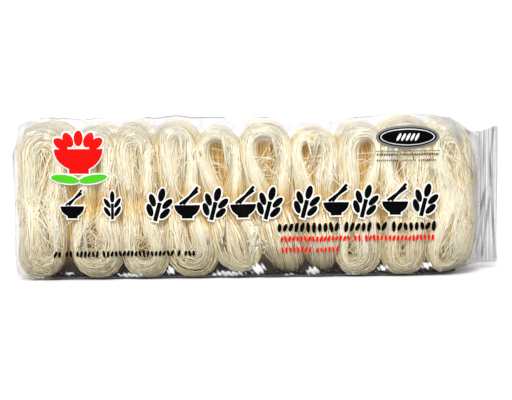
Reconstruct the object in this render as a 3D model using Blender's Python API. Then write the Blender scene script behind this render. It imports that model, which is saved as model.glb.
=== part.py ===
"""A clear sealed bag of dried rice vermicelli, standing on its long narrow side.

Metres, +Z up. +X runs along the bag to the end whose seal stands out, and -Y is the shown face.
The origin is the middle of the face that the bag rests on.

The bag is one solid with the form of its film. Ten skeins of vermicelli stand side by side in it,
each an upright loop that is pinched at the waist. The film is drawn over them: it is taut on each
skein, and sinks between neighbours, at the waists and into the eyes of the loops.
"""

import math

import bmesh
import bpy
import numpy as np
from mathutils import Vector

MM = 0.001

# Driving sizes of the filled bag, without its end seals.
BODY_LENGTH = 314 * MM
BODY_DEPTH = 75 * MM
CORNER_RADIUS = 12 * MM

# Each skein: the middle of its top loop and of its bottom loop, measured along the bag from its
# left end, the height of the film over it, and how wide the eyes of its two loops open.
SKEINS = tuple(
    tuple(size * MM for size in sizes)
    for sizes in (
        (22, 19, 107, 0, 9),
        (54.5, 57, 106.5, 0, 15),
        (78.5, 88.5, 106.5, 0, 12),
        (105, 121, 107.5, 0, 0),
        (133.5, 149, 106, 13, 0),
        (165.5, 173, 106, 15, 0),
        (199, 202, 103.5, 14, 0),
        (228, 227.5, 104.5, 14, 9),
        (261, 257.5, 109, 0, 0),
        (292, 289, 107.5, 0, 0),
    )
)
WAIST_HEIGHT = 54 * MM
WAIST_REACH = 17 * MM

# Relief of the film, each the most that it sinks below its taut face.
VALLEY_DEPTH = 3.6 * MM
WAIST_DEPTH = 1.6 * MM
EYE_DEPTH = 2.6 * MM
SAG_BETWEEN_TOPS = 1.4 * MM

# The eyes, each the middle of its height and half of it. An eye narrows towards the waist.
TOP_EYE_HEIGHT = 79 * MM
TOP_EYE_HALF_HEIGHT = 15 * MM
BOTTOM_EYE_HEIGHT = 27 * MM
BOTTOM_EYE_HALF_HEIGHT = 10 * MM
EYE_NARROWING = 0.45

# Right end. The front and back close to a flat seal that stands out, and between them the top
# and the bottom are tucked in, as in any bag with folded sides.
RIGHT_TAPER_LENGTH = 44 * MM
SEAL_WIDTH = 12.5 * MM
SEAL_THICKNESS = 1.6 * MM
SEAL_LOW = 5 * MM
SEAL_HIGH = 99 * MM
NOTCH_HEIGHT = 95.5 * MM
TUCK_DEPTH = 10 * MM
CRIMP_DEPTH = 0.35 * MM
CRIMP_PITCH = 3.1 * MM
SEAL_WAVE = 1.3 * MM

# Left end. It is nearly flat, and its seal lies folded on it.
LEFT_ROUNDING = 12 * MM
LEFT_TAPER = 5 * MM
FLAP_THICKNESS = 1.2 * MM
FLAP_WIDTH = 17 * MM
FLAP_LOW = 8 * MM
FLAP_HIGH = 95 * MM

# The seam that closes the film to a tube lies flat along the back, between these two shares of
# the height of its flat part.
SEAM_SHARES = (0.44, 0.56)
SEAM_THICKNESS = 0.7 * MM
SEAM_EDGE = 0.006

# Mesh steps.
STATION_STEP = 3.2 * MM
END_STATIONS = (0, 1 * MM, 2.5 * MM, 5 * MM, 8 * MM)
FRONT_STEPS = 16
TOP_STEPS = 6
BOTTOM_STEPS = 4
CORNER_STEPS = 3

VERMICELLI_COLOUR = (0.83, 0.75, 0.52, 1.0)
FILM_ROUGHNESS = 0.25


def clear_scene():
    for obj in list(bpy.data.objects):
        bpy.data.objects.remove(obj, do_unlink=True)


def smooth(t):
    """0 below t = 0, 1 above t = 1 and a soft step between."""
    t = min(1.0, max(0.0, t))
    return t * t * (3 - 2 * t)


def skein_middles(z):
    """Where each skein's middle stands along the bag at height z: most lean a little."""
    lean = smooth((z - WAIST_HEIGHT + WAIST_REACH) / (2 * WAIST_REACH))
    return [bottom + (top - bottom) * lean for top, bottom, *_ in SKEINS]


def between_skeins(x, z):
    """0 on the middle of a skein, 1 half way to its neighbour."""
    place = np.interp(x, skein_middles(z), range(len(SKEINS)))
    return math.sin(math.pi * place) ** 2


def at_waist(z):
    return math.exp(-(((z - WAIST_HEIGHT) / WAIST_REACH) ** 2))


def eye(x, z):
    """1 inside the eye of a loop, falling to 0 on the strands round it."""
    is_top = z > WAIST_HEIGHT
    height = TOP_EYE_HEIGHT if is_top else BOTTOM_EYE_HEIGHT
    half_height = TOP_EYE_HALF_HEIGHT if is_top else BOTTOM_EYE_HALF_HEIGHT
    along = (z - height) / half_height
    narrowing = 1 - EYE_NARROWING * min(1.0, max(0.0, -along if is_top else along))
    depth = 0.0
    for middle, skein in zip(skein_middles(z), SKEINS):
        width = skein[3] if is_top else skein[4]
        if width:
            across = 2 * (x - middle) / (width * narrowing)
            depth = max(depth, smooth((1.35 - math.hypot(across, along)) / 0.8))
    return depth


def film_relief(x, z):
    """How far the film on the front or back sinks below its taut face."""
    waist = at_waist(z)
    valley = VALLEY_DEPTH * between_skeins(x, z) ** 1.5 * (1 - 0.3 * waist)
    return valley + WAIST_DEPTH * waist + EYE_DEPTH * eye(x, z)


def right_taper(x):
    """0 along the body, 1 where the film has closed to the seal."""
    return min(1.0, max(0.0, (x - BODY_LENGTH + RIGHT_TAPER_LENGTH) / RIGHT_TAPER_LENGTH))


def half_depth(x):
    left = max(0.0, 1 - x / LEFT_ROUNDING)
    full = BODY_DEPTH / 2 - LEFT_TAPER * left**2
    closed = SEAL_THICKNESS / 2
    return closed + (full - closed) * math.sqrt(max(0.0, 1 - right_taper(x) ** 2.6))


def film_top(x):
    """Height of the film over the bag, with its dip before the seal's upper corner."""
    tops = [skein[0] for skein in SKEINS]
    heights = [skein[2] for skein in SKEINS]
    height = np.interp(x, tops, heights) - 2 * MM * max(0.0, 1 - x / LEFT_ROUNDING) ** 2
    before_seal = smooth((x - tops[-1]) / (BODY_LENGTH - tops[-1]))
    height += (NOTCH_HEIGHT - height) * before_seal
    return height + (SEAL_HIGH - NOTCH_HEIGHT) * smooth((x - BODY_LENGTH) / SEAL_WIDTH)


def film_bottom(x):
    left = max(0.0, 1 - x / LEFT_ROUNDING)
    return 2 * MM * left**2 + SEAL_LOW * right_taper(x) ** 3


def seal_form(x, z):
    """How far the seal stands aside of the middle plane: fine crimped ribs and a slow wave."""
    into_seal = smooth((x - BODY_LENGTH + 3 * MM) / (4 * MM))
    ribs = CRIMP_DEPTH * math.sin(2 * math.pi * (x - BODY_LENGTH) / CRIMP_PITCH)
    wave = SEAL_WAVE * math.sin(1.6 * math.pi * z / SEAL_HIGH + 0.6) * (x - BODY_LENGTH) / SEAL_WIDTH
    return (ribs + max(0.0, x - BODY_LENGTH) / SEAL_WIDTH * wave) * into_seal


def side_shares():
    """For each straight side, in the order top, front, bottom, back: shares of its length, each
    with 1 where the seam lies on it."""
    low, high = SEAM_SHARES
    plain = [t for t in np.linspace(0, 1, FRONT_STEPS - 2)[1:-1] if not low - 0.03 < t < high + 0.03]
    seam = [(low, 0), (low + SEAM_EDGE, 1), (high - SEAM_EDGE, 1), (high, 0)]
    back = sorted([(t, 0) for t in plain] + seam)

    def even(steps):
        return [(t, 0) for t in np.linspace(0, 1, steps + 1)[1:-1]]

    return even(TOP_STEPS), even(FRONT_STEPS), even(BOTTOM_STEPS), back


def rounded_outline(half_y, low, high):
    """Points round the bag's section: each a place, its outward direction and 1 on the seam."""
    radius = min(CORNER_RADIUS, half_y * 0.9)
    flat_y, flat_low, flat_high = half_y - radius, low + radius, high - radius
    corners = (
        (flat_y, flat_high, 0),
        (-flat_y, flat_high, 90),
        (-flat_y, flat_low, 180),
        (flat_y, flat_low, 270),
    )
    points = []
    for number, (shares, (y, z, start)) in enumerate(zip(side_shares(), corners)):
        for step in range(CORNER_STEPS + 1):
            turn = math.radians(start + 90 * step / CORNER_STEPS)
            out = (math.cos(turn), math.sin(turn))
            points.append((y + radius * out[0], z + radius * out[1], out, 0))
        next_y, next_z, _ = corners[(number + 1) % 4]
        for t, on_seam in shares:
            side_y = y + (next_y - y) * t + radius * out[0]
            side_z = z + (next_z - z) * t + radius * out[1]
            points.append((side_y, side_z, out, on_seam))
    return points


def section(x):
    """The film round the bag at distance x from its left end."""
    taper = right_taper(x)
    half_y = half_depth(x)
    relief_share = min(1.0, 2.5 * (1 - taper))
    tuck = TUCK_DEPTH * smooth(taper / 0.7) * smooth((1 - taper) / 0.3)
    sag = SAG_BETWEEN_TOPS * between_skeins(x, BODY_LENGTH)
    points = []
    for y, z, (out_y, out_z), on_seam in rounded_outline(half_y, film_bottom(x), film_top(x)):
        inside = 1 - abs(y) / half_y
        sunk = film_relief(x, z) * abs(out_y) * relief_share
        raised = SEAM_THICKNESS * on_seam * relief_share
        lowered = out_z * tuck * inside
        if out_z > 0:
            lowered += out_z * sag * (0.5 + 0.5 * inside) * (1 - taper)
        y -= math.copysign(sunk, y)
        points.append(Vector((x, y + raised + seal_form(x, z), z - lowered)))
    return points


def stations():
    """Distances from the left end at which the bag's sections stand."""
    first, last = END_STATIONS[-1] + STATION_STEP, BODY_LENGTH - 9 * MM
    middle = np.linspace(first, last, round((last - first) / STATION_STEP) + 1)
    right_end = BODY_LENGTH - np.array([6.5, 4, 2, 0.8, 0]) * MM
    seal = BODY_LENGTH + np.linspace(0, SEAL_WIDTH, 17)[1:]
    return [*END_STATIONS, *middle, *right_end, *seal]


def make_body():
    """The film's form, lofted through its sections, with both ends closed."""
    bm = bmesh.new()
    rings = [[bm.verts.new(point) for point in section(x)] for x in stations()]
    for ring, following in zip(rings, rings[1:]):
        for k in range(len(ring)):
            after = (k + 1) % len(ring)
            bm.faces.new((ring[k], ring[after], following[after], following[k]))
    bm.faces.new(rings[0])
    bm.faces.new(rings[-1])
    bmesh.ops.recalc_face_normals(bm, faces=bm.faces)
    mesh = bpy.data.meshes.new("vermicelli_bag")
    bm.to_mesh(mesh)
    bm.free()
    body = bpy.data.objects.new("vermicelli_bag", mesh)
    bpy.context.scene.collection.objects.link(body)
    return body


def make_flap():
    """The left end's seal, folded flat onto the end and towards the back."""
    bm = bmesh.new()
    bmesh.ops.create_cube(bm, size=1)
    overlap = 0.8 * MM
    size = Vector((FLAP_THICKNESS + overlap, FLAP_WIDTH, FLAP_HIGH - FLAP_LOW))
    middle = Vector(((overlap - FLAP_THICKNESS) / 2, FLAP_WIDTH / 2, (FLAP_HIGH + FLAP_LOW) / 2))
    bmesh.ops.scale(bm, vec=size, verts=bm.verts)
    bmesh.ops.translate(bm, vec=middle, verts=bm.verts)
    mesh = bpy.data.meshes.new("flap")
    bm.to_mesh(mesh)
    bm.free()
    flap = bpy.data.objects.new("flap", mesh)
    bpy.context.scene.collection.objects.link(flap)
    return flap


def fuse(body, piece):
    """Joins the piece to the body, so that they are one solid."""
    join = body.modifiers.new("fuse", "BOOLEAN")
    join.operation = "UNION"
    join.object = piece
    join.solver = "EXACT"
    bpy.context.view_layer.update()
    graph = bpy.context.evaluated_depsgraph_get()
    fused = bpy.data.meshes.new_from_object(body.evaluated_get(graph))
    body.modifiers.clear()
    body.data = fused
    bpy.data.objects.remove(piece, do_unlink=True)


def move_origin_to_base(body):
    """Places the mesh so that the object's origin is the middle of the face that it rests on."""
    points = np.array([vertex.co for vertex in body.data.vertices])
    low, high = points.min(axis=0), points.max(axis=0)
    middle = (low + high) / 2
    for vertex in body.data.vertices:
        vertex.co -= Vector((middle[0], middle[1], low[2]))


def vermicelli_material():
    material = bpy.data.materials.new("vermicelli_under_film")
    material.use_nodes = True
    shader = material.node_tree.nodes["Principled BSDF"]
    shader.inputs["Base Color"].default_value = VERMICELLI_COLOUR
    shader.inputs["Roughness"].default_value = FILM_ROUGHNESS
    shader.inputs["Metallic"].default_value = 0.0
    material.diffuse_color = VERMICELLI_COLOUR
    return material


def main():
    clear_scene()
    body = make_body()
    fuse(body, make_flap())
    move_origin_to_base(body)
    body.data.name = "vermicelli_bag"
    body.data.materials.clear()
    body.data.materials.append(vermicelli_material())
    body.data.shade_smooth()
    body.data.set_sharp_from_angle(angle=math.radians(40))


main()
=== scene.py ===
# %% [markdown]
# # A clear bag of dried rice vermicelli
#
# The bag stands on its long narrow side. Ten skeins of thin rice noodles stand side by side in it,
# and clear film is drawn tight over them. We start from a solid that has the film's outer form, and
# replace it with real film, real strands and a print of simple shapes.
#
# Everything is in metres. +X runs along the bag to the end whose seal stands out, -Y is the face
# that is shown, and +Z is up. The origin is on the ground, under the middle of the bag.

import math

import bpy
import numpy as np
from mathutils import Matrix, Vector
from mathutils.bvhtree import BVHTree


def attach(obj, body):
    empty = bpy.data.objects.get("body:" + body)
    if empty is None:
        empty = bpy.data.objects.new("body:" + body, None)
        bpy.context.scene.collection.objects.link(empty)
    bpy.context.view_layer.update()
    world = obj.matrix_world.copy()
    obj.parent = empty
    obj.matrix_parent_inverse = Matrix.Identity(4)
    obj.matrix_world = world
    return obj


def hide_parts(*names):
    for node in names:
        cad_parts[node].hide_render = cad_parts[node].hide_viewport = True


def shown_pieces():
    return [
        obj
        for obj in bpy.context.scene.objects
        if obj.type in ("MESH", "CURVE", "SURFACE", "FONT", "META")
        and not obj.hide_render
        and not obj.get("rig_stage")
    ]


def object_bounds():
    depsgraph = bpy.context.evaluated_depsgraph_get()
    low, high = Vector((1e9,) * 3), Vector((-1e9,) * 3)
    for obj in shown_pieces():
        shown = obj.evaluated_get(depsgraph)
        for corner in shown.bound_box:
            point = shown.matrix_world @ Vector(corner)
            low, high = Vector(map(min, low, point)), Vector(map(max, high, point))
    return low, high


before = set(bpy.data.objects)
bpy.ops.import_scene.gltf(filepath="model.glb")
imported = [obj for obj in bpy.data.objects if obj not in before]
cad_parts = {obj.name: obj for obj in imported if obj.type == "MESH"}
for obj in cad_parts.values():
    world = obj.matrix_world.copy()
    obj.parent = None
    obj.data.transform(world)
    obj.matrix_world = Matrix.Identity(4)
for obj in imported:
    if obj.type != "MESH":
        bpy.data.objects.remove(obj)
solid_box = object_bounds()
bag_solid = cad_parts["vermicelli_bag"]
MM = 0.001
print("solid box in metres", [[round(v, 4) for v in corner] for corner in solid_box])

# %% [markdown]
# ## The camera
#
# The photo was taken almost straight from the front, a little from above, with a long lens, so the
# lines along the bag stay nearly parallel. A long lens far away gives that. The bag's base line rises
# slightly to the right, so the camera is rolled by less than a degree.

# %% Place the camera
CAMERA_DISTANCE = 0.9
CAMERA_ELEVATION = math.radians(5)
CAMERA_ROLL = math.radians(0.69)
CAMERA_TARGET = Vector((-0.00195, 0, 0.0498))
VIEW_WIDTH = 0.3522


def place_camera():
    data = bpy.data.cameras.new("photo_camera")
    data.sensor_width = 36
    data.lens = 36 * CAMERA_DISTANCE / VIEW_WIDTH
    camera = bpy.data.objects.new("photo_camera", data)
    bpy.context.scene.collection.objects.link(camera)
    away = Vector((0, -math.cos(CAMERA_ELEVATION), math.sin(CAMERA_ELEVATION)))
    camera.location = CAMERA_TARGET + away * CAMERA_DISTANCE
    turn = (-away).to_track_quat("-Z", "Y").to_matrix().to_4x4()
    camera.rotation_euler = turn.to_euler()
    camera.rotation_euler.rotate_axis("Z", -CAMERA_ROLL)
    bpy.context.scene.camera = camera
    return camera


camera = place_camera()
print("lens in millimetres", round(camera.data.lens, 1))

# %% [markdown]
# ## A small wrapper for shader maths
#
# A material's pattern is easier to read as a sum than as a web of nodes. This class holds one output
# socket, and adds a Math node whenever two of them meet in an expression.


# %% Wrap sockets so that expressions make nodes
class Wire:
    def __init__(self, maker, socket):
        self.maker, self.socket = maker, socket

    def _math(self, operation, *others):
        values = {number: value for number, value in enumerate((self, *others))}
        return self.maker.node("ShaderNodeMath", {"operation": operation}, values)

    def __add__(self, other):
        return self._math("ADD", other)

    def __sub__(self, other):
        return self._math("SUBTRACT", other)

    def __mul__(self, other):
        return self._math("MULTIPLY", other)

    def __rsub__(self, other):
        return self.maker.node("ShaderNodeMath", {"operation": "SUBTRACT"}, {0: other, 1: self})

    def __pow__(self, other):
        return self._math("POWER", other)

    __radd__, __rmul__ = __add__, __mul__

    def between(self, low, high):
        """0 where this is under low, 1 where it is over high, and a soft step between."""
        settings = {"interpolation_type": "SMOOTHSTEP"}
        return self.maker.node(
            "ShaderNodeMapRange", settings, {"Value": self, "From Min": low, "From Max": high}
        )


class Finish:
    """A new material and short ways to add nodes to it."""

    def __init__(self, name):
        self.material = bpy.data.materials.new(name)
        self.material.use_nodes = True
        self.tree = self.material.node_tree
        self.shader = self.tree.nodes["Principled BSDF"]
        self.output = self.tree.nodes["Material Output"]

    def node(self, kind, settings=None, inputs=None, output=0):
        made = self.tree.nodes.new(kind)
        for key, value in (settings or {}).items():
            setattr(made, key, value)
        for key, value in (inputs or {}).items():
            self.feed(made.inputs[key], value)
        return Wire(self, made.outputs[output])

    def feed(self, socket, value):
        if isinstance(value, Wire):
            self.tree.links.new(value.socket, socket)
        else:
            socket.default_value = value

    def set(self, **inputs):
        for name, value in inputs.items():
            self.feed(self.shader.inputs[name.replace("_", " ")], value)

    def place(self):
        return self.node("ShaderNodeTexCoord", output="Object")

    def height(self):
        return self.node("ShaderNodeSeparateXYZ", {}, {"Vector": self.place()}, output=2)

    def attribute(self, name):
        return self.node("ShaderNodeAttribute", {"attribute_name": name}, output="Fac")

    def noise(self, scale, stretch=(1, 1, 1), detail=2.0):
        mapped = self.node("ShaderNodeMapping", {}, {"Vector": self.place(), "Scale": stretch})
        inputs = {"Vector": mapped, "Scale": scale, "Detail": detail}
        return self.node("ShaderNodeTexNoise", {}, inputs)

    def mix_colours(self, share, first, second):
        return self.node(
            "ShaderNodeMix", {"data_type": "RGBA"}, {0: share, 6: first, 7: second}, output=2
        )

    def bump(self, height, strength, distance):
        inputs = {"Height": height, "Strength": strength, "Distance": distance}
        return self.node("ShaderNodeBump", {}, inputs)


def colour(red, green, blue):
    """A colour as seen on a screen, 0 to 255, in the linear values that a shader takes."""

    def linear(value):
        value /= 255
        return value / 12.92 if value <= 0.04045 else ((value + 0.055) / 1.055) ** 2.4

    return (linear(red), linear(green), linear(blue), 1.0)


# %% [markdown]
# ## Where the film is
#
# Strands and print have to stay just inside or just on the film. Rays shot at a copy of the solid
# tell how far out the film is at any place, and a grid of such answers can be read very fast.


# %% Measure the film's four long sides
def film_tree():
    points = [vertex.co.copy() for vertex in bag_solid.data.vertices]
    faces = [tuple(face.vertices) for face in bag_solid.data.polygons]
    return BVHTree.FromPolygons(points, faces)


FILM_TREE = film_tree()
X_LOW, X_HIGH = solid_box[0][0], solid_box[1][0]
# how far out the rays start, and the x from which the film slopes down to the seal
FAR_OUT = 0.3
SEAL_SLOPE = 0.125


class Side:
    """How far out one side of the film is, over a grid of the two other directions."""

    def __init__(self, axis, facing, first, second):
        self.first, self.second = first, second
        start, along = [0.0] * 3, [0.0] * 3
        along[axis] = -facing
        others = [number for number in range(3) if number != axis]
        grid = np.empty((len(first), len(second)))
        for row, place in enumerate(first):
            for column, other_place in enumerate(second):
                start[axis], start[others[0]], start[others[1]] = facing * FAR_OUT, place, other_place
                hit = FILM_TREE.ray_cast(Vector(start), Vector(along))[0]
                grid[row, column] = hit[axis] if hit else math.nan
        for line in grid:
            known = ~np.isnan(line)
            if known.any():
                line[~known] = np.interp(np.flatnonzero(~known), np.flatnonzero(known), line[known])
        outwards = facing * np.nan_to_num(grid)
        # where the film slopes steeply down to the seal, the innermost neighbour counts
        before, after = np.roll(outwards, 1, axis=0), np.roll(outwards, -1, axis=0)
        innermost = np.minimum(outwards, np.minimum(before, after))
        self.grid = facing * np.where((first > SEAL_SLOPE)[:, None], innermost, outwards)

    def at(self, place, other_place):
        """Reads the grid between its points."""
        rows, columns = len(self.first), len(self.second)
        row = np.clip(np.interp(place, self.first, np.arange(rows)), 0, rows - 1.001)
        column = np.clip(np.interp(other_place, self.second, np.arange(columns)), 0, columns - 1.001)
        above, left = row.astype(int), column.astype(int)
        down, across = row - above, column - left
        low = self.grid[above, left] * (1 - across) + self.grid[above, left + 1] * across
        high = self.grid[above + 1, left] * (1 - across) + self.grid[above + 1, left + 1] * across
        return low * (1 - down) + high * down


ALONG = np.linspace(X_LOW + 1.5 * MM, X_HIGH - 1 * MM, 200)
HEIGHTS, DEPTHS = np.linspace(1 * MM, 107 * MM, 70), np.linspace(-36 * MM, 36 * MM, 40)
FRONT, BACK = Side(1, -1, ALONG, HEIGHTS), Side(1, 1, ALONG, HEIGHTS)
TOP, BOTTOM = Side(2, 1, ALONG, DEPTHS), Side(2, -1, ALONG, DEPTHS)
front_film = FRONT.at(np.array([0.0]), np.array([0.08]))[0]
print("the front film at the middle of the bag, y in millimetres", round(float(front_film) / MM, 1))


# how far right the strands reach at each height, in millimetres: the pack bulges out at mid-height
RIGHT_BORDER = (
    (0, 132.5), (11, 141), (23, 146.5), (39, 149.8), (60, 149.5), (76, 147), (89, 142), (103, 134),
)
LOWEST_STRAND = 0.6 * MM


def border(z):
    """The largest x that a strand may reach at this height."""
    return np.interp(z / MM, *np.array(RIGHT_BORDER).T) * MM


def keep_inside(points, gap):
    """Moves points that would come through the film, or past the border, to just inside."""
    x, y, z = points[..., 0], points[..., 1], points[..., 2]
    over = np.maximum(x - border(z), 0)
    x = x - over - 0.25 * np.minimum(over, 4 * MM)
    y = np.clip(y, FRONT.at(x, z) + gap, BACK.at(x, z) - gap)
    z = np.clip(z, BOTTOM.at(x, y) + gap, TOP.at(x, y) - gap)
    x = np.maximum(np.minimum(x, border(z)), X_LOW + 1.2 * MM + gap)
    y = np.clip(y, FRONT.at(x, z) + gap, BACK.at(x, z) - gap)
    return np.stack([x, y, np.maximum(z, LOWEST_STRAND)], axis=-1)


# %% [markdown]
# ## How a skein is wound
#
# A skein is one bunch of noodles wound round and round in an upright loop and pinched at the waist,
# so from the front it looks like a narrow 8. Some halves are flat rings that face the front, with an
# open eye or squeezed shut. Others are turned, so that their strands run up the front, over the end
# and down the back, and look like a sheaf. Each skein is named by its waist and its two halves.


# %% Name the sizes of the ten skeins
class Loop:
    """Half a skein: its middle, half width and far end, its eye, and how loose its strands lie.

    The eye has a middle, a half width and two heights. A sheaf has no eye, and `over` says how much
    of its width it keeps over the end. All lengths are in millimetres.
    """

    def __init__(self, middle, half_width, end, eye=None, over=0.0, loose=0.14):
        self.middle, self.half_width, self.end = middle * MM, half_width * MM, end * MM
        eye_middle, eye_half, eye_low, eye_high = eye or (middle, 0.3, 0, 0)
        self.eye_middle, self.eye_half = eye_middle * MM, eye_half * MM
        self.eye_low, self.eye_high = eye_low * MM, eye_high * MM
        self.is_open, self.over, self.loose = eye is not None, over, loose


SKEINS = (
    # waist, squeeze, and how far the waist is sunk and given painted shade, then the top half and the bottom
    # half
    (-144, 0.95, 0.1, Loop(-142, 17.0, 106.5, (-140, 2.6, 60, 84), loose=0.5),
     Loop(-146, 15.5, 1.2, (-140.5, 2.8, 20, 39), loose=0.5)),
    (-108, 0.82, 0.4, Loop(-108, 14.5, 103.5, (-107, 1.6, 62, 84), loose=0.35),
     Loop(-107.5, 17.5, 0.2, (-112, 7, 20, 38), loose=0.3)),
    (-80, 0.76, 0.3, Loop(-83.5, 14.6, 105, (-82, 0.9, 64, 86), loose=0.4),
     Loop(-74.5, 14.8, 0.2, (-74.5, 5.2, 16.5, 30), loose=0.5)),
    (-51, 0.74, 0.4, Loop(-57, 15.2, 106, (-52, 0.8, 68, 92), loose=0.3),
     Loop(-43, 17.2, 0.4, (-42, 1.4, 23, 40), loose=0.25)),
    (-22, 0.86, 0.4, Loop(-29, 15, 101.5, (-28.5, 7.4, 57, 92), loose=0.2),
     Loop(-12, 17, 3.4, (-1.5, 0.4, 16, 34), loose=0.15)),
    (8, 0.82, 0.4, Loop(3.4, 17.5, 106, (3.3, 7.4, 60, 92.5), loose=0.2),
     Loop(21, 15, -0.6, over=0.8)),
    (38, 0.82, 0.4, Loop(37, 15.5, 101, (34, 6.5, 65, 91.5), loose=0.2),
     Loop(43.5, 13, 0.6, over=0.8)),
    (66, 0.84, 0.35, Loop(68, 14, 104.5, (72, 5.6, 58, 91), loose=0.2),
     Loop(65.8, 15.2, 0.4, (60.5, 2.8, 14.5, 27), loose=0.4)),
    (98, 0.84, 0.25, Loop(98.5, 19, 107, (91.5, 3.0, 60, 78), loose=0.5),
     Loop(95.5, 13.6, 0.4, (94.7, 1.4, 14, 26), loose=0.5)),
    (134, 0.98, 0.05, Loop(130, 17, 106.5, (125, 2.6, 68, 87), loose=0.5),
     Loop(126.5, 17.5, 0.6, (119.5, 2.2, 11, 27), loose=0.5)),
)
WAIST_HEIGHT = 51 * MM
HALF_DEPTH = 36.4 * MM
STRAND_RADIUS = 0.33 * MM
LAYER_STEP = 0.55 * MM
# painted shade of each layer, from the front one inwards
LAYER_SHADE = (0.0, 0.1, 0.26, 0.48)
print("skeins", len(SKEINS), "strand diameter in mm", 2 * STRAND_RADIUS / MM)


# %% [markdown]
# ## The path of one strand
#
# A strand goes up one leg of its half, over the end and down the other leg. `lane` says where it
# runs across the band: in a ring 0 is along the eye and 1 along the outside, in a sheaf 0 is the
# left side and 1 the right. Many strands are worked out at once, as arrays of points.


# %% Work out paths for many strands at once
LEG_POINTS, CROWN_POINTS = 6, 9


def soft_step(share):
    share = np.clip(share, 0, 1)
    return share * share * (3 - 2 * share)


def near_waist(z):
    """1 at the waist, and less with the distance above and below it."""
    return np.exp(-(((z - WAIST_HEIGHT) / (11 * MM)) ** 2))


def ring_half(loop, waist_x, squeeze, lane):
    """x, z and lane of points from the left of the waist, over the crown, to the right of it."""
    height = loop.end - WAIST_HEIGHT
    if loop.is_open:
        inner = (loop.eye_high - WAIST_HEIGHT) / height, (loop.eye_low - WAIST_HEIGHT) / height
        eye_far, eye_near = max(inner), min(inner)
    else:
        eye_far, eye_near = 0.82, 0.5
    far = eye_far + (1 - eye_far) * lane

    def half_width(share, lane):
        eye = loop.eye_half * soft_step((share - eye_near) / (0.6 * (eye_far - eye_near)))
        outside = loop.half_width * (squeeze + (1 - squeeze) * soft_step(share / 0.6))
        return eye + (outside - eye) * lane

    shoulder = np.maximum(far - 0.95 * half_width(far, lane) / abs(height), 0.35 * far)
    leg = shoulder * np.linspace(0, 1, LEG_POINTS + 1)[None, :-1]
    leg_width = half_width(leg, lane)
    turn = np.linspace(math.pi, 0, CROWN_POINTS)[None, :]
    arch_width = half_width(shoulder, lane) * np.cos(turn)
    arch = shoulder + (far - shoulder) * np.sin(turn)
    across = np.concatenate([-leg_width, arch_width, leg_width[:, ::-1]], axis=1)
    share = np.concatenate([leg, arch, leg[:, ::-1]], axis=1)
    lanes = np.broadcast_to(lane, share.shape)
    pull = (loop.eye_middle - loop.middle) * (1 - lanes) * soft_step(share / 0.5)
    middle = waist_x + (loop.middle - waist_x) * share + pull
    return np.stack([middle + across, WAIST_HEIGHT + height * share, lanes])


def sheaf_half(loop, waist_x, squeeze, lane, inset):
    """x, z, lane and y of points up the front, over the end and down the back."""
    height = loop.end - WAIST_HEIGHT
    side = 2 * lane - 1
    rounding = loop.half_width * loop.over * (1 - np.sqrt(1 - 0.96 * side**2))
    drop = (inset + 0.9 * rounding) / abs(height)
    shoulder = 0.62 - drop
    leg = shoulder * np.linspace(0, 1, LEG_POINTS + 1)[None, :-1]
    turn = np.linspace(math.pi, 0, CROWN_POINTS)[None, :]
    arch = shoulder + (1 - drop - shoulder) * np.sin(turn) ** 0.8
    reach = HALF_DEPTH - inset + 0 * lane
    arch_y = reach * np.sign(np.cos(turn)) * np.abs(np.cos(turn)) ** 0.45
    share = np.concatenate([leg, arch, leg[:, ::-1]], axis=1)
    front = -reach + 0 * leg
    y = np.concatenate([front, arch_y, -front], axis=1)
    width = loop.half_width * (squeeze + (1 - squeeze) * soft_step(share / 0.45))
    width = width * (1 - (1 - loop.over) * soft_step((share - 0.5) / 0.5))
    middle = waist_x + (loop.middle - waist_x) * share
    y = y - np.sign(y) * np.minimum(np.abs(y), 8 * MM * np.abs(side) ** 3)
    return np.stack([middle + side * width, WAIST_HEIGHT + height * share, lane + 0 * share, y])


def waves(draw, count, points, longest):
    """Smooth wandering along each strand, about -1 to 1."""
    turn = np.linspace(0, 2 * math.pi, points)[None, :]
    total = np.zeros((count, points))
    for number in range(1, longest + 1):
        phase = draw.uniform(0, 2 * math.pi, (count, 1))
        total += draw.normal(0, 1 / number**0.6, (count, 1)) * np.sin(number * turn + phase)
    return total / 1.8


def wandering(make, lane, draw, loose):
    """Blends two lanes along each strand, so that strands cross. Loose ones cross far."""
    count = len(lane)
    reach = np.where(draw.uniform(0, 1, (count, 1)) < loose, 0.42, 0.08)
    other = np.clip(lane + draw.normal(0, 1, (count, 1)) * reach, 0, 1)
    first, second = make(lane), make(other)
    along = np.linspace(0, 2 * math.pi, first.shape[-1])[None, :]
    phase = draw.uniform(0, 2 * math.pi, (count, 1))
    share = 0.5 + 0.5 * np.sin(draw.uniform(0.4, 1.6, (count, 1)) * along + phase)
    return first * (1 - share) + second * share


# the last value of each step is the painted shade of the sinking tail
TAIL = ((6, 0.6, 0.1), (12, 2.5, 0.3), (18, 8.0, 0.7))  # how far on, how deep, and how shaded


def with_tails(path, waist_x, reach):
    """Lets both ends of each strand run on past the waist and sink between the others."""
    ends = []
    for tip, before in ((path[:, :1], path[:, 1:2]), (path[:, -1:], path[:, -2:-1])):
        along = tip - before
        along /= np.linalg.norm(along, axis=-1, keepdims=True) + 1e-12
        out = (tip[..., 0] - waist_x) / reach
        sideways = -np.sign(out) * soft_step((np.abs(out) - 0.7) / 0.3)
        inwards = np.stack([sideways, -np.sign(tip[..., 1]), 0 * out], axis=-1)
        ends.append([tip + along * far * MM + inwards * sink * MM for far, sink, _ in TAIL])
    return np.concatenate([*ends[0][::-1], path, *ends[1]], axis=1)


def spread(draw, count):
    return ((np.arange(count) + draw.uniform(0, 1, count)) / count)[:, None]


# how many strands lie in each layer of a sheaf, and in the front and back layers of a ring
SHEAF_COUNTS, FRONT_COUNTS, BACK_COUNTS = (32, 36, 38, 36), (32, 35, 34, 22), (28, 27)
SIDE_COUNT = 70
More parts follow.
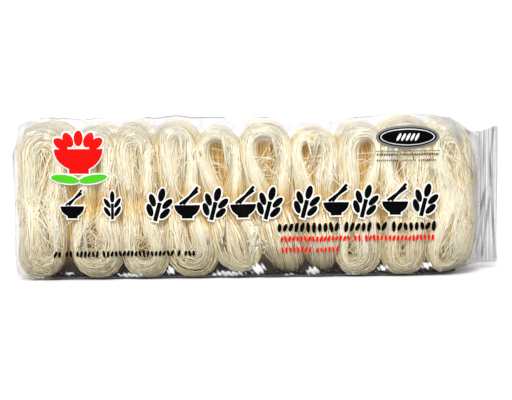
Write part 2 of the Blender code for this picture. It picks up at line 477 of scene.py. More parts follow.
# shells round a ring and its eye: strands, lanes from and to, reach from the middle in mm, painted shade
SHELLS = ((78, 0.93, 1.04, 28, 0.1), (28, 0, 0.1, 27, 0.35))


def sheaf_layers(loop, waist_x, squeeze, draw, add):
    """Layers that run over the end of a sheaf, and strands along both of its sides."""
    for layer, count in enumerate(SHEAF_COUNTS):
        inset = layer * LAYER_STEP
        make = lambda lane: sheaf_half(loop, waist_x, squeeze, lane, inset)
        x, z, _, y = wandering(make, spread(draw, count), draw, loop.loose)
        add(np.stack([x, y, z], axis=-1), np.full(count, LAYER_SHADE[layer]), inset)
    inset = draw.uniform(3, 26, (SIDE_COUNT, 1)) * MM
    lane = np.round(spread(draw, SIDE_COUNT)) + draw.normal(0, 0.04, (SIDE_COUNT, 1))
    x, z, _, y = sheaf_half(loop, waist_x, squeeze, np.clip(lane, 0, 1), inset)
    add(np.stack([x, y, z], axis=-1), np.full(SIDE_COUNT, 0.1))


def ring_layers(loop, waist_x, squeeze, draw, add):
    """Layers on the front and the back of a ring, and shells round its outside and its eye."""
    inwards = 8.0 if loop.is_open else 1.6
    for facing, counts in ((-1, FRONT_COUNTS), (1, BACK_COUNTS)):
        for layer, count in enumerate(counts):
            make = lambda lane: ring_half(loop, waist_x, squeeze, lane)
            x, z, lanes = wandering(make, spread(draw, count), draw, loop.loose)
            out = np.clip((lanes - 0.5) / 0.5, 0, 1) ** 2 * 9 * MM
            sunk = out + np.clip((0.45 - lanes) / 0.45, 0, 1) ** 2 * inwards * MM
            sunk = sunk - 0.6 * out * soft_step((14 * MM - z) / (10 * MM))
            y = facing * (HALF_DEPTH - layer * LAYER_STEP - sunk)
            add(np.stack([x, y, z], axis=-1), np.full(count, LAYER_SHADE[layer]), layer * LAYER_STEP)
    for count, lane_low, lane_high, depth, dark in SHELLS:
        lane = draw.uniform(lane_low, lane_high, (count, 1))
        x, z, _ = ring_half(loop, waist_x, squeeze, lane)
        y = (2 * spread(draw, count) - 1) * depth * MM + 0 * x
        add(np.stack([x, y, z], axis=-1), np.full(count, dark), sway=1.5)


def wind_half(loop, waist_x, squeeze, waist_shade, draw):
    """Paths of all strands of half a skein, and the painted shade of each point, by how far in it lies.

    0 is on the outside and 1 far in the heap. Above 1 is painted shadow, low in the bag.
    """
    paths, shades, sunk_by = [], [], []

    def add(path, layer, below=0.0, sway=0.4):
        count, points = path.shape[:2]
        sizes = (0.9 + 1.3 * loop.loose, sway, 0.6)
        path = path + np.stack([waves(draw, count, points, 8) * size * MM for size in sizes], axis=-1)
        paths.append(path)
        sunk_by.append(np.full((count, 1), below))
        shades.append(np.broadcast_to(np.asarray(layer, float).reshape(-1, 1), path.shape[:2]))

    layers = sheaf_layers if loop.over else ring_layers
    layers(loop, waist_x, squeeze, draw, add)
    path = np.concatenate(paths)
    z, y = path[..., 2], path[..., 1]
    path[..., 1] = y - np.sign(y) * np.minimum(np.abs(y), 12 * waist_shade * MM * near_waist(z))
    path = with_tails(path, waist_x, loop.half_width * squeeze)
    for _ in range(2):
        path[:, 1:-1] = 0.25 * path[:, :-2] + 0.5 * path[:, 1:-1] + 0.25 * path[:, 2:]
    path = keep_inside(path, 1.1 * STRAND_RADIUS + 0.25 * MM + np.concatenate(sunk_by))
    x, y, z = path[..., 0], path[..., 1], path[..., 2]
    under = np.minimum(y - FRONT.at(x, z), BACK.at(x, z) - y)
    under = np.minimum(under, TOP.at(x, y) - z)
    under = np.minimum(under, np.minimum(x - X_LOW, border(z) - x))
    shade = np.concatenate(shades)
    tail = np.array([[step[2] for step in TAIL]]) + np.zeros((len(shade), 1))
    shade = np.concatenate([tail[:, ::-1], shade, tail], axis=1)
    # painted shade: deeper layers, tails, the waist and strands far under the film are painted golden
    shade = shade + waist_shade * near_waist(z) + 0.85 * soft_step((under - 5 * MM) / (18 * MM))
    shade = np.clip(shade, 0, 1)
    # low in the bag, shaded strands get values over 1, which are painted shadow
    return path, shade + soft_step((20 * MM - z) / (16 * MM)) * soft_step((shade - 0.25) / 0.4)


# %% [markdown]
# ## From paths to tubes
#
# Each path becomes a thin tube with three sides. It looks round once it is shaded smooth, because a
# strand is only about a pixel wide in the photo. Both ends are closed.


# %% Build many tubes as one mesh
SIDES = 3


def paint(mesh, label, values):
    """Gives every point of a mesh a value that its finish can read."""
    layer = mesh.attributes.new(label, "FLOAT", "POINT")
    layer.data.foreach_set("value", values.astype(np.float32))


def tube_mesh(name, groups):
    """One mesh from groups of (paths, deep, radii, tone). Paths has strands, points and x y z."""
    all_points, all_faces, all_depth_shade, all_tone, start = [], [], [], [], 0
    for paths, depth_shade, radii, tone in groups:
        count, points = paths.shape[:2]
        along = np.gradient(paths, axis=1)
        along /= np.linalg.norm(along, axis=-1, keepdims=True) + 1e-12
        side = np.cross(along, np.array([0.31, 0.92, 0.24]))
        side /= np.linalg.norm(side, axis=-1, keepdims=True) + 1e-12
        up = np.cross(side, along)
        turn = (np.arange(SIDES) + 0.5) * 2 * math.pi / SIDES
        ring = (
            side[:, :, None, :] * np.cos(turn)[None, None, :, None]
            + up[:, :, None, :] * np.sin(turn)[None, None, :, None]
        )
        around = paths[:, :, None, :] + ring * radii[:, None, None, None]
        index = start + np.arange(count * points * SIDES).reshape(count, points, SIDES)
        here, there = index[:, :-1], index[:, 1:]
        following = np.roll(np.arange(SIDES), -1)
        quads = np.stack([here, there, there[..., following], here[..., following]], axis=-1)
        for faces in (quads.reshape(-1, 4), index[:, 0, :], index[:, -1, ::-1]):
            all_faces += faces.tolist()
        all_points.append(around.reshape(-1, 3))
        all_depth_shade.append(np.repeat(depth_shade.reshape(-1), SIDES))
        all_tone.append(np.repeat(tone, points * SIDES))
        start += count * points * SIDES
    mesh = bpy.data.meshes.new(name)
    mesh.from_pydata(np.concatenate(all_points), [], all_faces)
    paint(mesh, "depth_shade", np.concatenate(all_depth_shade))
    paint(mesh, "tone", np.concatenate(all_tone))
    mesh.shade_smooth()
    piece = bpy.data.objects.new(name, mesh)
    bpy.context.scene.collection.objects.link(piece)
    return piece


def strand_group(paths, depth_shade, draw, thin=1.0):
    count = len(paths)
    radii = STRAND_RADIUS * thin * draw.uniform(0.75, 1.2, count)
    return paths, depth_shade, radii, draw.uniform(0, 1, count)


# %% Wind the ten skeins
skeins = []
for number, (waist_mm, squeeze, waist_shade, *both) in enumerate(SKEINS):
    draw = np.random.default_rng(100 + number)
    halves = [wind_half(half, waist_mm * MM, squeeze, waist_shade, draw) for half in both]
    groups = [strand_group(path, depth_shade, draw) for path, depth_shade in halves]
    skeins.append(tube_mesh(f"skein_{number + 1}", groups))
print("faces in each skein", [len(skein.data.polygons) for skein in skeins])


# %% [markdown]
# ## The heart of the heap
#
# Through an eye, and between two waists, one sees further strands in brown shade, never the far
# side. A slab in the middle of the bag stops the view, and loose strands hang before it.


# %% Make the slab and the strands before it
def deselect_all():
    if bpy.context.mode != "OBJECT":
        bpy.ops.object.mode_set(mode="OBJECT")
    bpy.ops.object.select_all(action="DESELECT")


def edit_all():
    """Opens the active piece for editing, with all of it chosen."""
    bpy.ops.object.mode_set(mode="EDIT")
    bpy.ops.mesh.select_all(action="SELECT")


def modify(piece, label, kind, **settings):
    """Adds a modifier to the active piece and applies it."""
    modifier = piece.modifiers.new(label, kind)
    for key, value in settings.items():
        setattr(modifier, key, value)
    bpy.ops.object.modifier_apply(modifier=label)


HEART_LOW, HEART_HIGH, HEART_HALF_DEPTH = 1.2 * MM, 90 * MM, 22 * MM
HEART_LEFT, HEART_RIGHT = X_LOW + 17 * MM, 133 * MM
# how wide the row of hanging strands is
HUNG_WIDTH = 0.283


def make_heart():
    deselect_all()
    middle = ((HEART_LEFT + HEART_RIGHT) / 2, 0, (HEART_LOW + HEART_HIGH) / 2)
    bpy.ops.mesh.primitive_cube_add(size=1, location=middle)
    heart = bpy.context.object
    heart.name = heart.data.name = "skein_hearts"
    heart.scale = (HEART_RIGHT - HEART_LEFT, 2 * HEART_HALF_DEPTH, HEART_HIGH - HEART_LOW)
    bpy.ops.object.transform_apply(location=True, rotation=True, scale=True)
    modify(heart, "bevel", "BEVEL", width=3 * MM, segments=3)
    edit_all()
    bpy.ops.mesh.subdivide(number_cuts=12)
    bpy.ops.object.mode_set(mode="OBJECT")
    for vertex in heart.data.vertices:
        wave = math.sin(vertex.co.x / (1.9 * MM)) + math.sin(vertex.co.x / (1.3 * MM) + 2)
        vertex.co.y += math.copysign(0.5 * MM, vertex.co.y) * wave
    heart.data.shade_smooth()
    return heart


def hang_strands(count, draw):
    """Wavy upright strands just before the slab's front and back."""
    turn = np.linspace(0, 1, 14)[None, :]
    z = draw.uniform(11, 16, (count, 1)) * MM + turn * 79 * MM
    x = X_LOW + 15 * MM + spread(draw, count) * HUNG_WIDTH
    x = x + draw.normal(0, 3 * MM, (count, 1)) * np.sin(math.pi * turn * draw.uniform(1, 3, (count, 1)))
    x = x + draw.normal(0, 4 * MM, (count, 1)) * (turn - 0.5)
    facing = np.where(np.arange(count) % 4 == 0, 1, -1)[:, None]
    y = facing * (HEART_HALF_DEPTH + draw.uniform(0.5, 4.5, (count, 1)) * MM) + 0 * x
    x = np.clip(x, X_LOW + 13 * MM, HEART_RIGHT)
    paths = keep_inside(np.stack([x, y, z + 0 * x], axis=-1), MM)
    # painted shade: strands nearer the slab are more golden, and strands low in the bag get painted shadow
    shade = np.clip(0.85 - 0.4 * (np.abs(y) - HEART_HALF_DEPTH) / (4.5 * MM), 0, 1)
    return paths, shade + 1.2 * soft_step((30 * MM - paths[..., 2]) / (18 * MM))


heart = make_heart()
draw = np.random.default_rng(7)
deep_paths, hung_shade = hang_strands(420, draw)
deep_strands = tube_mesh("inner_strands", [strand_group(deep_paths, hung_shade, draw)])


# %% [markdown]
# ## Stray strands
#
# Broken and wandering strands cross the eyes and the gaps. They catch the light, so they matter more
# than their number. Each is a smooth line through a few points, or a curl.


# %% Lay stray strands across the eyes and gaps
def smooth_line(points, steps):
    """A smooth curve that runs through all the points."""
    points = np.array(points, float)
    padded = np.concatenate([[2 * points[0] - points[1]], points, [2 * points[-1] - points[-2]]])
    places = np.linspace(0, len(points) - 1.000001, steps)
    line = []
    for place in places:
        first = int(place)
        share = place - first
        before, here, there, after = padded[first : first + 4]
        bend = 2 * before - 5 * here + 4 * there - after
        twist = 3 * here - before - 3 * there + after
        line.append(0.5 * (2 * here + (there - before) * share + bend * share**2 + twist * share**3))
    return np.array(line)


def turned(along, across, angle):
    """Two lengths at right angles, turned by an angle, as x and z."""
    cosine, sine = math.cos(angle), math.sin(angle)
    return along * cosine - across * sine, along * sine + across * cosine


def curl(x, z, radius, turns, tilt, start, depth):
    """A few turns of a wandering ring, in millimetres."""
    turn = np.linspace(0, turns * 2 * math.pi, int(10 * turns) + 4) + start
    size = radius * (1 - 0.05 * turn)
    shift_x, shift_z = turned(size * np.cos(turn), 0.75 * size * np.sin(turn), tilt)
    return np.stack([x + shift_x, depth + 0.25 * turn, z + shift_z], axis=-1)


STRAYS = [
    # over the open eyes, left to right, as x, depth, z in millimetres
    [(-38, -33, 85.5), (-31, -31, 87), (-20, -32, 85)],
    [(-37, -32, 78), (-28, -30.5, 76.5), (-19, -33, 74)],
    [(-34, -33, 73), (-27, -31, 71), (-24, -32, 66)],
    [(8, -34, 91), (4, -33, 84), (-1, -33, 76), (-3, -34, 70)],
    [(-6, -34, 83), (2, -32, 78), (9, -33, 72), (13, -34, 68)],
    [(0, -33, 76), (6, -34, 80), (11, -33, 77), (9, -32, 72)],
    [(-3, -33, 70), (5, -34, 73), (12, -33, 69), (6, -33, 66)],
    [(27, -33, 69), (31, -34, 76), (35, -33, 86), (37, -34, 80), (34, -33, 72)],
    [(25, -34, 78), (33, -33, 73), (40, -34, 65), (43, -34, 61)],
    [(45, -34, 80), (38, -33, 73), (30, -34, 64)],
    [(29, -34, 88), (35, -33, 92), (42, -34, 89), (44, -34, 80)],
    [(57, -34, 80), (66, -33, 82.5), (80, -32, 83)],
    [(60, -34, 72), (68, -33, 76), (76, -32, 80)],
    [(52, -34, 66), (49, -33, 73), (45, -34, 80)],
    [(46, -34, 64), (50, -34, 74), (55, -34, 82)],
    [(-96, -34, 62), (-89, -34, 69), (-84, -34, 74)],
    [(-70, -34, 84), (-66, -33, 83), (-60, -34, 85)],
    [(-74, -34, 66), (-68, -33, 73), (-64, -34, 70)],
    # low gaps and tangled eyes
    [(-14, -33, 36), (-8, -32, 27), (2, -33, 17), (4, -33, 20)],
    [(-12, -33, 38), (-9, -33, 29), (-4, -34, 24), (3, -33, 24), (9, -33, 20)],
    [(-10, -34, 33), (-2, -33, 23), (6, -34, 14), (9, -34, 11)],
    [(-122, -34, 22), (-115, -33, 26), (-106, -33, 20), (-100, -34, 23)],
    [(-120, -34, 17), (-112, -33, 22), (-103, -33, 30), (-101, -34, 36)],
    [(-85, -34, 32), (-77, -33, 28), (-70, -33, 20), (-66, -34, 15)],
    [(-82, -34, 20), (-74, -33, 24), (-66, -34, 32), (-62, -34, 36)],
    [(-150, -34, 42), (-140, -33, 34), (-133, -34, 22), (-136, -34, 14)],
    [(-153, -34, 70), (-146, -34, 58), (-140, -34, 50), (-132, -34, 42)],
    [(-150, -34, 52), (-139, -34, 63), (-130, -34, 78)],
    [(50, -34, 30), (60, -33, 24), (70, -34, 16), (78, -34, 18)],
    [(56, -34, 10), (66, -33, 14), (74, -34, 28)],
    [(84, -34, 22), (92, -33, 12), (104, -34, 20), (108, -34, 32)],
    [(88, -34, 30), (97, -34, 12), (106, -34, 9)],
    [(112, -34, 36), (120, -34, 28), (136, -34, 33)],
    [(110, -34, 28), (126, -34, 14), (142, -34, 26)],
    [(117, -34, 88), (120, -33, 78), (128, -34, 70)],
    [(112, -34, 60), (124, -34, 80), (132, -34, 96)],
]
CURLS = [
    # x, z, radius, turns, tilt and starting angle in radians, depth
    (-113, 29, 6.5, 2.6, 0.2, 0.3, -34.0),
    (-109, 27, 5.0, 1.6, -0.5, 2.0, -33.0),
    (-75, 25, 4.5, 1.4, 0.6, 1.0, -33.0),
    (6, 77, 5.0, 1.7, 0.3, 0.5, -33.5),
    (5, 70, 5.5, 1.1, 0.1, 3.0, -33.5),
    (31, 74, 3.5, 0.9, 1.2, 0.0, -33.5),
    (-140, 30, 4.0, 0.8, 1.2, 0.0, -33.5),
    (97, 20, 5.0, 1.2, 0.7, 1.0, -34.0),
    (66, 20, 6.5, 1.1, 0.4, 2.5, -34.0),
]
# places where strands are tangled: middle x and z, half width and half height in millimetres, how
# many strands, how deep they lie, and how steep they run in degrees, from and to
TANGLES = (
    (-28.5, 76, 8, 14, 5, 9, -50, 40), (3.3, 76, 8, 12, 7, 8, -60, 70), (34, 77, 7, 12, 4, 8, -60, 60),
    (72, 76, 6, 12, 3, 9, -40, 40), (-140.5, 29, 4, 8, 1, 6, -60, 60), (-112, 28, 8, 9, 9, 5, -70, 70),
    (-74.5, 24, 7, 8, 8, 5, -70, 70), (-1.5, 25, 6, 9, 6, 4, -80, 20), (60.5, 21, 6, 7, 5, 6, -60, 60),
    (94.7, 20, 6, 7, 5, 6, -60, 60), (-94, 60, 5, 12, 5, 5, 50, 110), (-126, 50, 6, 12, 4, 5, 60, 120),
    (-66, 54, 5, 10, 3, 5, 60, 120), (-8, 46, 6, 10, 4, 5, 60, 120), (23, 56, 5, 10, 3, 5, 60, 120),
    (52, 56, 5, 12, 5, 5, 60, 120), (82, 58, 5, 12, 4, 5, 60, 120), (119, 78, 4, 10, 3, 6, 60, 120),
    (-144, 62, 12, 26, 16, 0.5, 50, 80), (-144, 40, 12, 22, 13, 0.5, 100, 130),
    (99, 64, 14, 24, 15, 0.5, 50, 80), (99, 44, 14, 22, 13, 0.5, 100, 130),
    (134, 62, 11, 30, 14, 0.5, 100, 118), (128, 28, 14, 16, 12, 0.5, 20, 60),
    (-80, 76, 10, 18, 7, 0.5, 60, 110), (-56, 70, 10, 18, 6, 0.5, 60, 110),
    (-108, 34, 12, 14, 6, 0.5, 30, 70),
)


def tangle(draw, x, z, half_x, half_z, depth, steep_from, steep_to):
    """A bent strand that crosses a tangled place."""
    turn = math.radians(draw.uniform(steep_from, steep_to))
    reach = 1 / math.hypot(math.cos(turn) / half_x, math.sin(turn) / half_z)
    run, aside = np.linspace(-1.1, 1.1, 12), draw.uniform(-0.8, 0.8) * min(half_x, half_z)
    bend, twist = draw.normal(0, 0.22), draw.normal(0, 0.12)
    across = aside + reach * (bend * (run**2 - 0.5) + twist * np.sin(2.6 * run))
    inwards = draw.uniform(0, depth) * (1 - 0.6 * run**2)
    shift_x, shift_z = turned(reach * run, across, turn)
    return np.stack([x + shift_x, inwards - 35, z + shift_z], axis=-1)


draw = np.random.default_rng(23)
stray_lines = []
for x, z, half_x, half_z, count, *way in TANGLES:
    stray_lines += [tangle(draw, x, z, half_x, half_z, *way) * MM for _ in range(count)]
stray_lines += [smooth_line(points, 5 * len(points)) * MM for points in STRAYS]
stray_lines += [curl(*values) * MM for values in CURLS]
groups = []
for line in stray_lines:
    path = keep_inside(line[None], 1.1 * STRAND_RADIUS + 0.2 * MM)
    # painted shade: strays that lie further in are a little more golden
    sunk = np.clip((path[..., 1] + 34 * MM) / (9 * MM), 0, 1)
    groups.append(strand_group(path, 0.5 * sunk, draw, 0.85))
strays = tube_mesh("stray_strands", groups)
print("stray strands", len(stray_lines))

# %% [markdown]
# ## The film
#
# The film is a copy of the solid's surface. The copy is merged, so that its faces hang together,
# turned back into quads and subdivided, so that it bends softly. Small creases are then drawn into
# it, where real film is gathered: beside the seal, and along the top and bottom edges.


# %% Copy the solid's surface and refine it
def make_film():
    deselect_all()
    film = bag_solid.copy()
    film.data = bag_solid.data.copy()
    film.parent = None
    film.name = film.data.name = "film"
    for key in list(film.keys()):
        if key.startswith("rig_"):
            del film[key]
    bpy.context.scene.collection.objects.link(film)
    bpy.context.view_layer.objects.active = film
    film.select_set(True)
    edit_all()
    bpy.ops.mesh.remove_doubles(threshold=0.00001)
    bpy.ops.mesh.tris_convert_to_quads()
    bpy.ops.object.mode_set(mode="OBJECT")
    modify(film, "refine", "SUBSURF", levels=2, render_levels=2)
    film.data.materials.clear()
    film.data.shade_smooth()
    return film


film = make_film()

# %% [markdown]
# Three values are painted on the film's points while it is creased. The first is milky haze, as where
# film lies in several layers, with painted reflection along the top, at the ends and in glints. `white`
# is painted reflection that makes the milk brighter. `edge` is painted grey shade along folds and edges,
# and a painted shadow along the bottom. A fold is given as a line of points in x and z, and bends the
# film near that line.


# %% Crease the film
FOLDS = (
    # side it shows on, height, width, grey of its painted shade, then x and z along the line, all lengths in
    # millimetres
    (-1, 0.7, 0.9, 0.5, (122, 108), (128, 102), (131, 94), (134, 84), (138, 76), (144, 66)),
    (-1, 0.6, 0.8, 0.4, (126, 107), (130, 100), (134, 90), (139, 81), (145, 68)),
    (-1, 0.5, 0.8, 0.4, (150, 96), (149.5, 83), (151, 62), (150.5, 42), (148, 25), (144, 11), (134, 1)),
    (0, 0.5, 0.8, 0.55, (156, 56), (149, 25), (144, 15)),
    (0, 0.5, 0.8, 0.55, (159, 50), (155, 22), (153.5, 10)),
    (0, 0.4, 0.7, 0.7, (161, 98), (159, 76), (160, 52), (162, 22), (163, 8)),
    (0, 0.3, 0.6, 0.45, (155, 96), (154, 70), (155, 44), (153, 24)),
    (-1, 0.3, 0.7, 0.35, (-160, 104), (-144, 104.5), (-139, 106.5)),
)
# how high the ridge along the top edge is and how dark its painted shade, from left to right, as x in
# millimetres and strength
TOP_LINE = (
    (-162, 0.3), (-152, 0.9), (-140, 1.0), (-128, 0.6), (-118, 0.7), (-95, 0.2), (-85, 0.3), (-76, 1),
    (-26, 1), (-18, 0.1), (-8, 0.3), (5, 0.9), (12, 0.4), (30, 0.25), (60, 0.3), (70, 0.9), (85, 0.5),
    (105, 0.3), (125, 0.7), (140, 0.9), (148, 0.3),
)
GLINTS = (
    # x, z, width and height of painted glints, white patches of painted reflection low on the front
    (-86, 3.2, 7.5, 1.5), (-59, 6.5, 2.4, 2.6), (-20, 3.6, 9, 1.9), (-1, 6.5, 4.2, 3.6),
    (35.5, 5, 3.8, 2.8), (82, 6.2, 3.0, 1.8), (111, 7.6, 3.2, 2.2), (-146, 2.6, 3, 0.8), (-127, 5, 2.4, 1.0),
    (-30, 2.6, 3, 0.8), (62, 2.2, 5, 0.7), (20, 2.2, 4, 0.7),
)


def distance_to_line(x, z, line):
    nearest = np.full(len(x), np.inf)
    for (x0, z0), (x1, z1) in zip(line, line[1:]):
        run, rise = x1 - x0, z1 - z0
        share = np.clip(((x - x0) * run + (z - z0) * rise) / (run * run + rise * rise), 0, 1)
        nearest = np.minimum(nearest, np.hypot(x - x0 - share * run, z - z0 - share * rise))
    return nearest


def read_points(mesh):
    """The points of a mesh and the directions that they face, as rows of x, y and z."""
    count = 3 * len(mesh.vertices)
    points, normals = np.empty(count), np.empty(count)
    mesh.vertices.foreach_get("co", points)
    mesh.vertices.foreach_get("normal", normals)
    return points.reshape(-1, 3), normals.reshape(-1, 3)


def gathered_creases(x, y, z, draw):
    """How far creases raise the film beside the seal and along its edges. All in millimetres."""
    near_seal = soft_step((x - 108) / 30) * soft_step((151 - x) / 5)
    at_top, at_bottom = soft_step((z - 92) / 10), soft_step((14 - z) / 8) * soft_step((z - 1) / 2)
    push = np.zeros(len(x))
    for _ in range(16):
        # folds that fan out from the seal
        line = z - draw.uniform(15, 95) - draw.uniform(-0.5, 0.5) * (x - 150)
        push += near_seal * draw.uniform(-0.5, 0.5) * np.exp(-((line / draw.uniform(1.5, 4.0)) ** 2))
    for _ in range(34):
        # short folds over the top edge, and up from the bottom edge
        line = x - draw.uniform(-160, 140) - draw.uniform(-0.6, 0.6) * (z - 95) - draw.uniform(-0.3, 0.3) * y
        push += at_top * draw.uniform(-0.5, 0.5) * np.exp(-((line / draw.uniform(1.2, 4)) ** 2))
        line = x - draw.uniform(-160, 140) - draw.uniform(-1.2, 1.2) * (z - 5)
        push += at_bottom * draw.uniform(-0.5, 0.5) * np.exp(-((line / draw.uniform(1.2, 2.5)) ** 2))
    return push


# the crest is found slot by slot along the bag, in slots of so many millimetres
SLOT_WIDTH, SLOTS = 3, 111


def crest_ridge(x, y, z, in_seal):
    """A low ridge along the crest, where the top turns down to the back, with painted shade here and there.
    """
    slot = np.clip(((x + 165) / SLOT_WIDTH).astype(int), 0, SLOTS - 1)
    crest_y = np.zeros(SLOTS)
    order = np.argsort(z + 0.09 * y)
    crest_y[slot[order]] = y[order]
    crest_y[1:-1] = np.median([crest_y[:-2], crest_y[1:-1], crest_y[2:]], axis=0)
    ridge = np.exp(-(((y - crest_y[slot]) / 1.3) ** 2)) * soft_step((y - 4) / 6) * soft_step((z - 85) / 4)
    return ridge * (np.interp(x, *np.array(TOP_LINE).T) * (1 - in_seal))


def milk_and_reflections(x, y, z, in_seal):
    """How milky the film is and how much painted reflection it has: in the seal, along the top, at both
    ends, in glints.
    """
    streaks = 0.62 + 0.2 * np.sin(x * 2.3 + z / 30) + 0.18 * np.sin(x * 4.1 - z / 17 + 1)
    at_right, far_right = soft_step((x - 112) / 20) * soft_step((151 - x) / 3), soft_step((x - 136) / 12)
    at_left = soft_step((-152 - x) / 6) * soft_step((z - 3) / 6) * (1 - 0.7 * soft_step((y + 36) / 8))
    cloud = 0.9 + 0.12 * np.sin(x / 7 + 2 * np.sin(z / 6)) + 0.08 * np.sin(x / 2.9 + z / 3)
    high = soft_step((z - 84) / 19) * cloud * (1 - 0.72 * soft_step((y + 34) / 12))
    # along the top and at the left end, the film's milk and white are partly painted reflection
    haze_and_reflection = 0.95 * in_seal * streaks + 0.74 * high * (1 - in_seal) + 0.42 * at_left
    haze_and_reflection += at_right * (0.14 + 0.5 * far_right + 0.1 * high)
    haze_and_reflection = np.minimum(haze_and_reflection, 0.8)
    white = np.clip(0.15 * high + 0.8 * at_left, 0, 0.8) * (1 - in_seal) * (1 - 0.5 * far_right)
    # painted glints: white patches of painted reflection
    for glint_x, glint_z, width, height in GLINTS:
        wave = 1 + 0.35 * np.sin(1.7 * x + 1.1 * z)
        apart = ((x - glint_x) / width) ** 2 + ((z - glint_z) / height) ** 2
        near = soft_step(1.6 * wave - apart) * (y < 0)
        haze_and_reflection += 1.4 * near
        white += near
    # painted highlights: thin bright streaks where the film is drawn under the bag
    highlight_streak = soft_step((np.sin(1.1 * x + 2.2 * z + 3 * np.sin(x / 9)) - 0.75) / 0.2)
    highlight_streak *= soft_step((8 - z) / 4) * soft_step((-20 - y) / 6) * soft_step((140 - x) / 8)
    return haze_and_reflection + 0.5 * highlight_streak, white + 0.8 * highlight_streak


def crease_film(seed=5):
    """Raises the creases and folds, and paints the film's points."""
    mesh = film.data
    points, normals = read_points(mesh)
    x, y, z = points.T / MM
    in_seal = soft_step((x - 149) / 3)
    ridge = crest_ridge(x, y, z, in_seal)
    push = gathered_creases(x, y, z, np.random.default_rng(seed)) + ridge
    # painted shade: grey along the top crest, and a grey line down the left end, where the film is seen
    # edge-on
    left_line = np.exp(-(((x + 162.2) / 0.9) ** 2)) * soft_step((-29 - y) / 5) * soft_step((104 - z) / 6)
    edge = 0.85 * ridge + left_line * (0.35 + 0.5 * np.exp(-(((z - 82) / 14) ** 2)))
    for side, height, width, grey, *line in FOLDS:
        near = np.exp(-((distance_to_line(x, z, line) / width) ** 2))
        if side:
            near = near * soft_step((side * y + 4) / 6)
        push += height * near
        # painted grey shade along each fold
        edge += grey * near * (0.7 + 0.3 * np.sin(z / 5.3 + x / 3.1))
    # painted shadow: a dark line along the bottom of the front, where the bag meets the ground
    shadow_under_bag = 1.6 * soft_step((1.9 - z) / 0.8) * soft_step((-16 - y) / 10)
    shadow_under_bag *= soft_step((132 - x) / 5) * soft_step((x + 146) / 8)
    haze_and_reflection, white = milk_and_reflections(x, y, z, in_seal)
    push[z < 0.8] = 0
    points[:, 0] += 3.2 * MM * soft_step((z - 83) / 13) * soft_step((-152 - x) / 10)
    points += normals * (push * MM)[:, None]
    mesh.vertices.foreach_set("co", points.reshape(-1).astype(np.float32))
    values = {"haze_and_reflection": haze_and_reflection + 0.25 * np.abs(push), "edge": np.maximum(edge, shadow_under_bag), "white": white}
    for label, amounts in values.items():
        paint(mesh, label, np.clip(amounts, 0, 1.6))
    mesh.update()


crease_film()
print("film faces", len(film.data.polygons))

# %% [markdown]
# ## The print
#
# The print is ink on the film. Each colour is its own thin piece: flat shapes are added as
# primitives, joined, cut by a fine grid so that they can bend, laid on the film, and given the
# thickness of a coat of ink. The shapes are plain: a red heaped bowl on two green leaves, black signs
# with white edges, rows of small grains, and a dark oval with a grey rim.


# %% Tools for flat shapes
# y where shapes are made, where rays start, and where a point stays whose ray misses the film
BEFORE_BAG, RAYS_FROM, WITHOUT_HIT = -0.06, -0.1, -0.03
FIRST_CUT, CUT_STEP, INK_THICKNESS = 2 * MM, 2.5 * MM, 0.08 * MM


def flat_shape(kind, x, z, width, height, turn=0.0):
    """Adds one flat shape that faces the front, and returns it. Sizes in millimetres."""
    deselect_all()
    place = (x * MM, BEFORE_BAG, z * MM)
    upright = (math.radians(90), 0, 0)
    if kind == "bar":
        bpy.ops.mesh.primitive_plane_add(size=1, location=place, rotation=upright)
    else:
        bpy.ops.mesh.primitive_circle_add(
            vertices=28, radius=0.5, fill_type="NGON", location=place, rotation=upright
        )
    shape = bpy.context.object
    shape.scale = (width * MM, height * MM, 1)
    bpy.ops.object.transform_apply(location=False, rotation=False, scale=True)
    shape.rotation_euler = (math.radians(90), -turn, 0)
    bpy.ops.object.transform_apply(location=True, rotation=True, scale=True)
    return shape


def half_disc(x, z, width, height):
    """The lower half of an ellipse, cut by bisecting it."""
    shape = flat_shape("round", x, z, width, 2 * height)
    edit_all()
    bpy.ops.mesh.bisect(
        plane_co=(x * MM, 0, z * MM), plane_no=(0, 0, 1), clear_outer=True, use_fill=False
    )
    bpy.ops.object.mode_set(mode="OBJECT")
    return shape


def lay_on_film(name, shapes, lift):
    """Joins flat shapes, cuts them by a grid, drops them on the film's front and thickens them."""
    deselect_all()
    for shape in shapes:
        shape.select_set(True)
    bpy.context.view_layer.objects.active = shapes[0]
    if len(shapes) > 1:
        bpy.ops.object.join()
    piece = bpy.context.view_layer.objects.active
    piece.name = piece.data.name = name
    corners = np.array([vertex.co for vertex in piece.data.vertices])
    low, high = corners.min(axis=0), corners.max(axis=0)
    for axis, normal in ((0, (1, 0, 0)), (2, (0, 0, 1))):
        for place in np.arange(low[axis] + FIRST_CUT, high[axis], CUT_STEP):
            cut = [0.0, 0.0, 0.0]
            cut[axis] = float(place)
            edit_all()
            bpy.ops.mesh.bisect(plane_co=cut, plane_no=normal)
    bpy.ops.object.mode_set(mode="OBJECT")
    for vertex in piece.data.vertices:
        start = Vector((vertex.co.x, RAYS_FROM, vertex.co.z))
        hit = FILM_FRONT_TREE.ray_cast(start, Vector((0, 1, 0)))[0]
        vertex.co.y = (hit.y if hit else WITHOUT_HIT) - lift
    modify(piece, "ink", "SOLIDIFY", thickness=INK_THICKNESS, offset=1.0)
    edit_all()
    bpy.ops.mesh.normals_make_consistent(inside=False)
    bpy.ops.object.mode_set(mode="OBJECT")
    return piece


FILM_FRONT_TREE = BVHTree.FromObject(film, bpy.context.evaluated_depsgraph_get())

# %% [markdown]
# The large words of such a bag are replaced by two rows of slanted signs: a sprig of rice, and a bowl
# with sticks. Each has a white edge, which is the same sign drawn a little larger under the black.


# %% Signs made of flat shapes
LEAN = math.radians(15)


